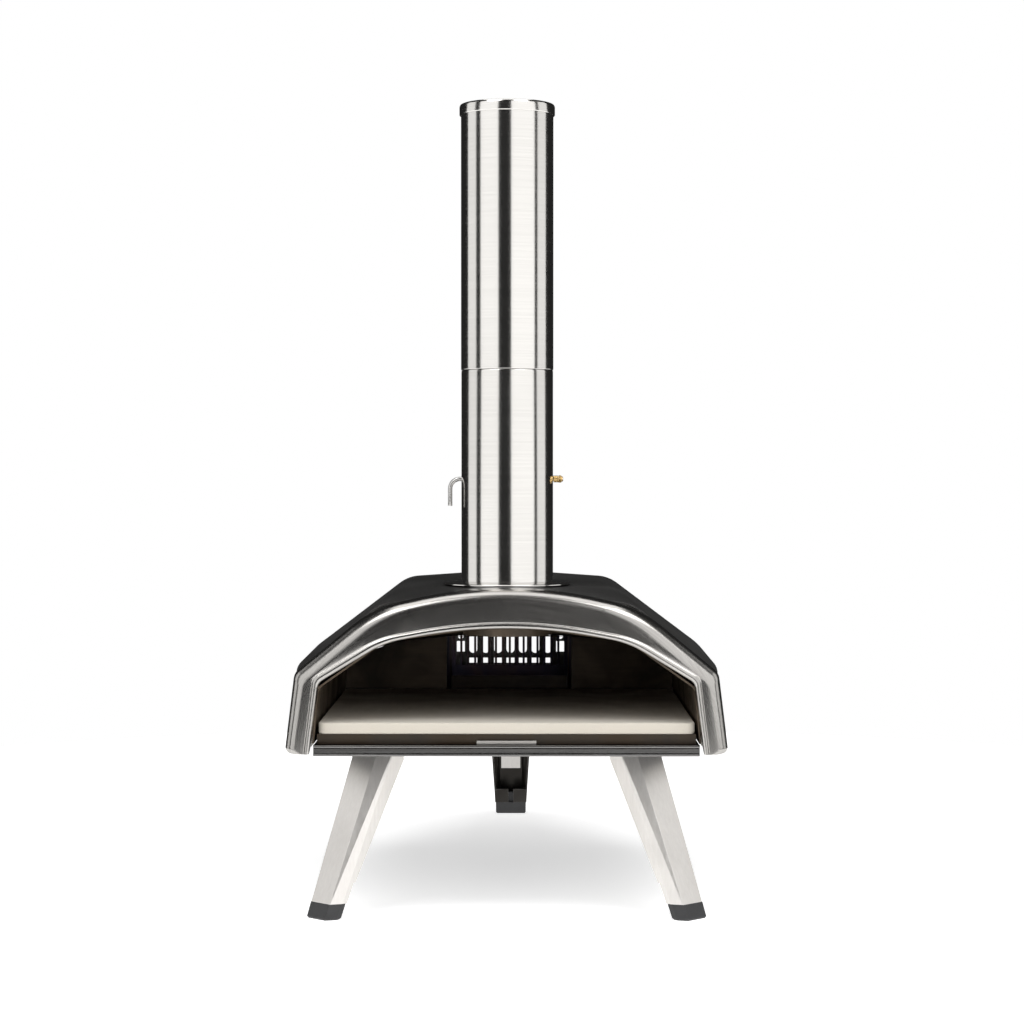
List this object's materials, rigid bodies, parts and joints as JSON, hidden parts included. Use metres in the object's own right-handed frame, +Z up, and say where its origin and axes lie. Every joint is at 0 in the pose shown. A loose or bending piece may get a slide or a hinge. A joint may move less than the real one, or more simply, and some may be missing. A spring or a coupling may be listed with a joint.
{
  "type": "wood fired pizza oven",
  "caption": "Portable pellet-fired pizza oven: black arched shell, steel mouth frame, stone floor, tall flue with damper, rear hopper and folding legs.",
  "frame": {"origin": "on the floor, at the centre of the bounding box", "axes": "+Z up the chimney, the mouth faces -Y, +X to the right of someone facing the mouth"},
  "size_m": [0.3946, 0.7024, 0.74],
  "materials": {
    "black_shell": "satin powder coat",
    "trim_steel": "brushed",
    "tube_steel": "brushed along its length",
    "leg_steel": "bead blasted",
    "tray_paint": "satin",
    "liner_steel": "heat darkened",
    "burner_steel": "heat tinted",
    "tray_dark": "heat browned",
    "stone": "fired cordierite",
    "fibre": "ceramic fibre",
    "grip": "heat-proof nylon",
    "foot_rubber": "moulded",
    "brass": "turned",
    "fastener": "plated"
  },
  "bodies": {
    "oven": {"base_tray": "tray_paint", "stone_tray": "tray_dark", "door_catch": "trim_steel", "liner_roof": "liner_steel", "liner_left": "liner_steel", "liner_right": "liner_steel", "insulation": "fibre", "shell_roof": "black_shell", "shell_left": "black_shell", "shell_right": "black_shell", "front_trim": "trim_steel", "rear_wall_panel": "liner_steel", "flame_guard": "burner_steel", "burner_box": "burner_steel", "shell_rear_panel": "black_shell", "rear_cover": "black_shell", "hopper_body": "black_shell", "hopper_chute": "burner_steel", "chimney_collar": "tube_steel", "flue_sleeve": "liner_steel", "left_leg_bracket": "leg_steel", "right_leg_bracket": "leg_steel", "rear_leg_bracket": "leg_steel", "left_hinge_pin": "fastener", "right_hinge_pin": "fastener", "rear_hinge_pin": "fastener", "base_screws": "fastener", "hopper_screws": "fastener"},
    "stone": {"baking_stone": "stone"},
    "fuel_drawer": {"fuel_grate": "burner_steel", "fuel_hatch": "trim_steel", "hatch_handle": "grip", "handle_standoffs": "fastener", "handle_screws": "fastener"},
    "hopper_cap": {"hopper_lid": "trim_steel", "lid_knob": "grip"},
    "lower_chimney": {"chimney_lower": "tube_steel"},
    "upper_chimney": {"chimney_upper": "tube_steel", "chimney_cap": "tube_steel"},
    "damper": {"damper_plate": "burner_steel", "damper_rod": "fastener", "damper_spring": "brass", "damper_nut": "brass"},
    "left_leg_assembly": {"left_leg": "leg_steel", "left_hinge_strap": "leg_steel", "left_foot": "foot_rubber"},
    "right_leg_assembly": {"right_leg": "leg_steel", "right_hinge_strap": "leg_steel", "right_foot": "foot_rubber"},
    "rear_leg_assembly": {"rear_leg": "leg_steel", "rear_hinge_strap": "leg_steel", "rear_foot": "foot_rubber"}
  },
  "joints": [
    {"name": "left_leg_fold", "type": "hinge", "parent": "oven", "child": "left_leg_assembly", "pos_m": [-0.12499, -0.28395, 0.1375], "axis": [0.7193, -0.6947, 0], "range_deg": [0, 112]},
    {"name": "right_leg_fold", "type": "hinge", "parent": "oven", "child": "right_leg_assembly", "pos_m": [0.12499, -0.28395, 0.1375], "axis": [0.7193, 0.6947, 0], "range_deg": [0, 112]},
    {"name": "rear_leg_fold", "type": "hinge", "parent": "oven", "child": "rear_leg_assembly", "pos_m": [0, 0.28546, 0.1375], "axis": [-1, 0, 0], "range_deg": [0, 112]},
    {"name": "stone_slide", "type": "slide", "parent": "oven", "child": "stone", "axis": [0, -1, 0], "range_m": [0, 0.34]},
    {"name": "drawer_slide", "type": "slide", "parent": "oven", "child": "fuel_drawer", "axis": [0, 1, 0], "range_m": [0, 0.12]},
    {"name": "lid_lift", "type": "slide", "parent": "oven", "child": "hopper_cap", "axis": [0, 0, 1], "range_m": [0, 0.06]},
    {"name": "lower_chimney_lift", "type": "slide", "parent": "oven", "child": "lower_chimney", "axis": [0, 0, 1], "range_m": [0, 0.05]},
    {"name": "upper_chimney_lift", "type": "slide", "parent": "lower_chimney", "child": "upper_chimney", "axis": [0, 0, 1], "range_m": [0, 0.05]},
    {"name": "damper_turn", "type": "hinge", "parent": "lower_chimney", "child": "damper", "pos_m": [0, -0.243, 0.394], "axis": [1, 0, 0], "range_deg": [0, 90]}
  ]
}
